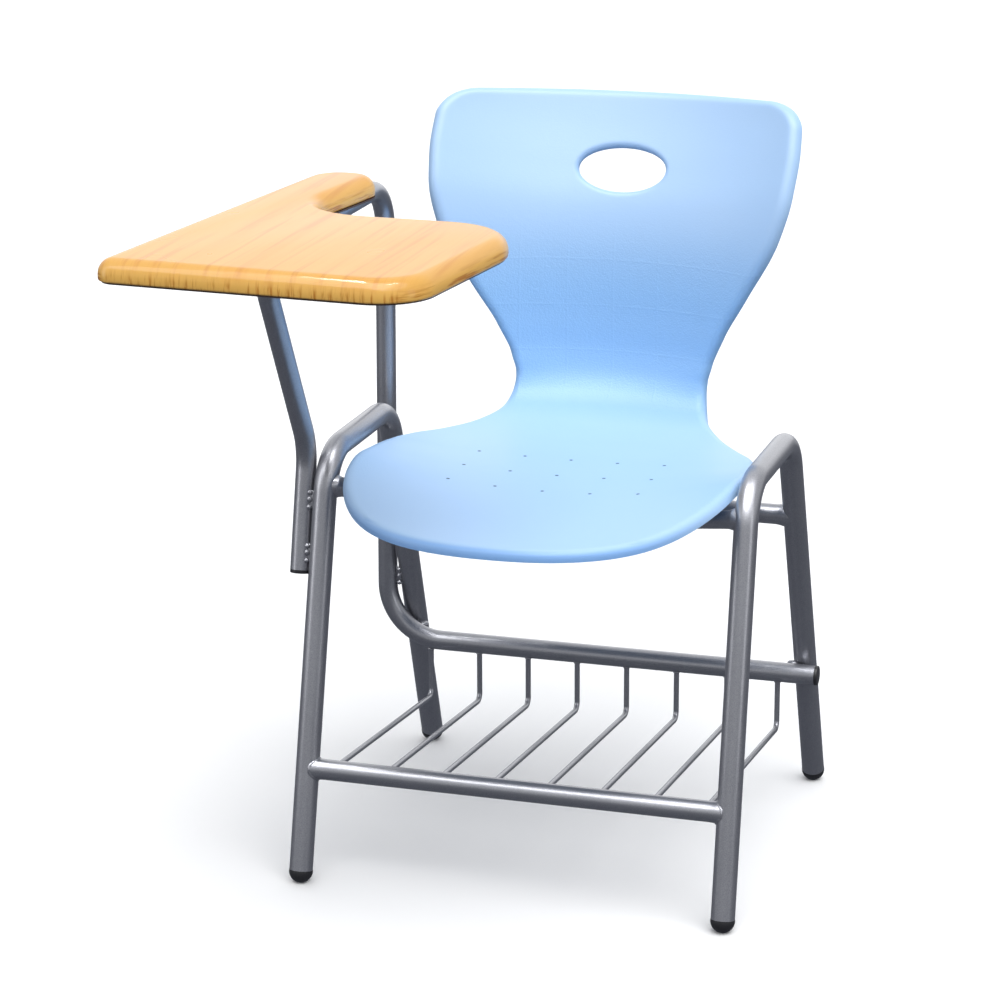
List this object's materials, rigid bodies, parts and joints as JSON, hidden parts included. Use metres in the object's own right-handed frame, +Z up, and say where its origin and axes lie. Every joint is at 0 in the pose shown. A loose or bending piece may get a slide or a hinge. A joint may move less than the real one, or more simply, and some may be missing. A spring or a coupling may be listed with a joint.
{
  "type": "student desk chair",
  "caption": "School chair with a moulded plastic shell on bent steel side frames, a wire book rack below and a fixed writing tablet beside it.",
  "frame": {"origin": "bottom centre of the bounding box, on the floor under the chair", "axes": "+Z up, +Y to the back of the chair, +X to the sitter's left, so the tablet is on -X"},
  "size_m": [0.5798, 0.7492, 0.7794],
  "materials": {
    "frame_paint": "satin silver-grey powder coat",
    "shell_plastic": "light blue polypropylene with a fine pebble grain",
    "tablet_laminate": "light maple-look laminate, semi-gloss",
    "backing": "dark brown backing sheet",
    "black_plastic": "black plastic",
    "zinc": "zinc-plated screws"
  },
  "bodies": {
    "root": {"right_side_frame": "frame_paint", "foot_cap_front_right": "black_plastic", "foot_cap_rear_right": "black_plastic", "left_side_frame": "frame_paint", "foot_cap_front_left": "black_plastic", "foot_cap_rear_left": "black_plastic", "front_stretcher": "frame_paint", "seat_rear_rail": "frame_paint", "seat_front_rail": "frame_paint", "tablet_arm_tube": "frame_paint", "arm_end_plug_crossbar": "black_plastic", "arm_end_plug_front": "black_plastic", "arm_spacer_front_upper": "frame_paint", "arm_spacer_front_lower": "frame_paint", "arm_spacer_rear": "frame_paint", "rack_wire_1": "frame_paint", "rack_wire_2": "frame_paint", "rack_wire_3": "frame_paint", "rack_wire_4": "frame_paint", "rack_wire_5": "frame_paint", "rack_wire_6": "frame_paint", "rack_wire_7": "frame_paint", "rack_wire_8": "frame_paint", "seat_plate_front_right": "frame_paint", "seat_bracket_rear_right": "frame_paint", "seat_screw_front_right": "zinc", "seat_screw_rear_right": "zinc", "seat_plate_front_left": "frame_paint", "seat_bracket_rear_left": "frame_paint", "seat_screw_front_left": "zinc", "seat_screw_rear_left": "zinc", "seat_shell": "shell_plastic", "tablet_screw_front_1": "zinc", "tablet_screw_front_2": "zinc", "tablet_screw_front_3": "zinc", "tablet_strip_front": "frame_paint", "tablet_screw_middle_1": "zinc", "tablet_screw_middle_2": "zinc", "tablet_strip_middle": "frame_paint", "tablet_screw_rear_1": "zinc", "tablet_screw_rear_2": "zinc", "tablet_strip_rear": "frame_paint", "tablet_top": "tablet_laminate", "tablet_backing": "backing"}
  },
  "joints": []
}
